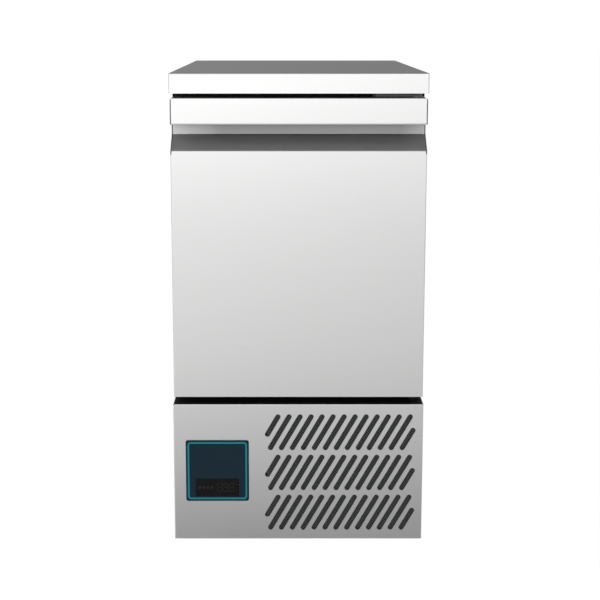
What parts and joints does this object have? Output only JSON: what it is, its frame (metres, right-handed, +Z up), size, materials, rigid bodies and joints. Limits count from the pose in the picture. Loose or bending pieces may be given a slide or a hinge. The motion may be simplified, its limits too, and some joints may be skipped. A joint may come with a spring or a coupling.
{
  "type": "undercounter refrigerator",
  "caption": "Slim stainless undercounter refrigerator with a side-hinged door, full-width scoop handle and slotted condensing-unit base.",
  "frame": {"origin": "centre of the bounding box at the floor, under the feet", "axes": "+Z up, the door and base panel face -Y, +X to the right as the front is seen"},
  "size_m": [0.45, 0.7, 0.86],
  "materials": {
    "brushed_stainless": "satin",
    "chamber_stainless": "satin",
    "galvanised_steel": "satin",
    "zinc_plated_steel": "satin",
    "coated_wire": "gloss",
    "polyurethane_foam": "matte",
    "plywood": "matte",
    "black_frame_paint": "satin",
    "grey_bracket_steel": "satin",
    "black_plastic": "matte",
    "grey_cap_plastic": "matte",
    "gasket_rubber": "matte",
    "white_plastic": "satin",
    "filter_mesh": "matte",
    "navy_fascia": "satin",
    "teal_line": "satin",
    "display_plastic": "gloss",
    "fin_aluminium": "satin",
    "motor_paint": "satin",
    "compressor_paint": "satin",
    "copper": "polished",
    "grey_box_plastic": "matte",
    "black_foot": "matte"
  },
  "bodies": {
    "cabinet": {"worktop": "brushed_stainless", "worktop_core": "plywood", "side_panel_left": "brushed_stainless", "side_panel_right": "brushed_stainless", "back_panel": "galvanised_steel", "floor_panel": "galvanised_steel", "insulation": "polyurethane_foam", "liner": "chamber_stainless", "liner_back": "chamber_stainless", "face_frame": "black_frame_paint", "thermal_break": "black_plastic", "frame_rails": "galvanised_steel", "shelf_uprights": "zinc_plated_steel", "shelf_slides": "zinc_plated_steel", "upper_shelf": "coated_wire", "lower_shelf": "coated_wire", "evaporator_cover": "chamber_stainless", "evaporator_coil": "fin_aluminium", "evaporator_fan_frame": "black_plastic", "drip_tray": "chamber_stainless", "drain_tube": "white_plastic", "air_probe": "white_plastic", "top_hinge_bracket": "grey_bracket_steel", "top_hinge_pin": "zinc_plated_steel", "bottom_hinge_bracket": "black_frame_paint", "bottom_hinge_pin": "black_frame_paint", "screws": "zinc_plated_steel", "base_tray": "galvanised_steel", "ledge_trim": "black_plastic", "front_grille": "brushed_stainless", "air_filter": "filter_mesh", "control_fascia": "navy_fascia", "fascia_line": "teal_line", "controller": "display_plastic", "rear_cover": "galvanised_steel", "condenser_coil": "fin_aluminium", "condenser_shroud": "black_plastic", "condenser_fan_motor": "motor_paint", "compressor": "compressor_paint", "compressor_mounts": "gasket_rubber", "discharge_line": "copper", "suction_line": "copper", "filter_drier": "copper", "condensate_tray": "black_plastic", "electrical_box": "grey_box_plastic", "cable_gland": "black_plastic", "foot_bushes": "zinc_plated_steel"},
    "door": {"door_skin": "brushed_stainless", "door_handle": "brushed_stainless", "handle_end_caps": "grey_cap_plastic", "door_foam": "polyurethane_foam", "door_lining": "chamber_stainless", "door_gasket": "gasket_rubber", "hinge_bushes": "white_plastic"},
    "evaporator_fan": {"evaporator_fan_rotor": "black_plastic"},
    "condenser_fan": {"condenser_fan_rotor": "black_plastic"},
    "foot_front_left": {"foot_front_left": "black_foot"},
    "foot_front_right": {"foot_front_right": "black_foot"},
    "foot_rear_left": {"foot_rear_left": "black_foot"},
    "foot_rear_right": {"foot_rear_right": "black_foot"}
  },
  "joints": [
    {"name": "door_hinge", "type": "hinge", "parent": "cabinet", "child": "door", "pos_m": [0.208, -0.312, 0.55], "axis": [0, 0, 1], "range_deg": [0, 105], "stiffness_Nm_per_rad": 0.6, "springref_deg": -34.38},
    {"name": "evaporator_fan_spin", "type": "hinge", "parent": "cabinet", "child": "evaporator_fan", "pos_m": [0, 0.269, 0.7075], "axis": [0, 1, 0], "continuous": true},
    {"name": "condenser_fan_spin", "type": "hinge", "parent": "cabinet", "child": "condenser_fan", "pos_m": [0.06, -0.258, 0.1302], "axis": [0, 1, 0], "continuous": true},
    {"name": "foot_front_left_screw", "type": "slide", "parent": "cabinet", "child": "foot_front_left", "axis": [0, 0, -1], "range_m": [0, 0.015]},
    {"name": "foot_front_right_screw", "type": "slide", "parent": "cabinet", "child": "foot_front_right", "axis": [0, 0, -1], "range_m": [0, 0.015]},
    {"name": "foot_rear_left_screw", "type": "slide", "parent": "cabinet", "child": "foot_rear_left", "axis": [0, 0, -1], "range_m": [0, 0.015]},
    {"name": "foot_rear_right_screw", "type": "slide", "parent": "cabinet", "child": "foot_rear_right", "axis": [0, 0, -1], "range_m": [0, 0.015]}
  ]
}
